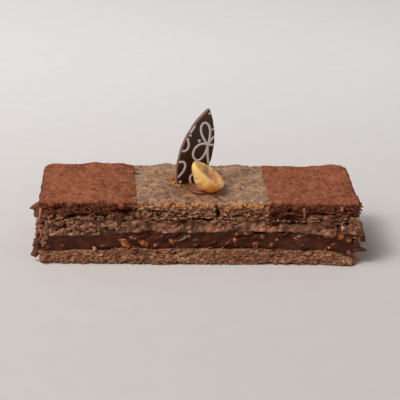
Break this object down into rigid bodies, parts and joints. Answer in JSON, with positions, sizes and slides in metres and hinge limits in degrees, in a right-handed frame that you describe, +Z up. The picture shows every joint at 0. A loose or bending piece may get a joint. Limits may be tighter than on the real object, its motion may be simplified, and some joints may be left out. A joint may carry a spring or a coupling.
{
  "type": "mille-feuille slice",
  "caption": "Chocolate mille-feuille slice: layered puff pastry and chocolate creams, cocoa-dusted ends, a chocolate leaf and a halved hazelnut on top.",
  "frame": {"origin": "on the underside, under the middle of the slice", "axes": "+X along the slice to its right end, +Y to its back, +Z up"},
  "size_m": [0.1283, 0.0407, 0.0556],
  "materials": {
    "pastry": "matte, flaky",
    "dark_cream": "glossy",
    "praline": "satin",
    "cocoa": "matte powder",
    "soft_chocolate": "glossy",
    "dark_chocolate": "glossy",
    "hazelnut": "satin"
  },
  "bodies": {
    "root": {"base_pastry": "pastry", "chocolate_cream": "dark_cream", "praline_cream": "praline", "top_pastry": "pastry", "cocoa_left": "cocoa", "cocoa_right": "cocoa", "chocolate_dab": "soft_chocolate", "chocolate_leaf": "dark_chocolate", "hazelnut_half": "hazelnut"}
  },
  "joints": []
}
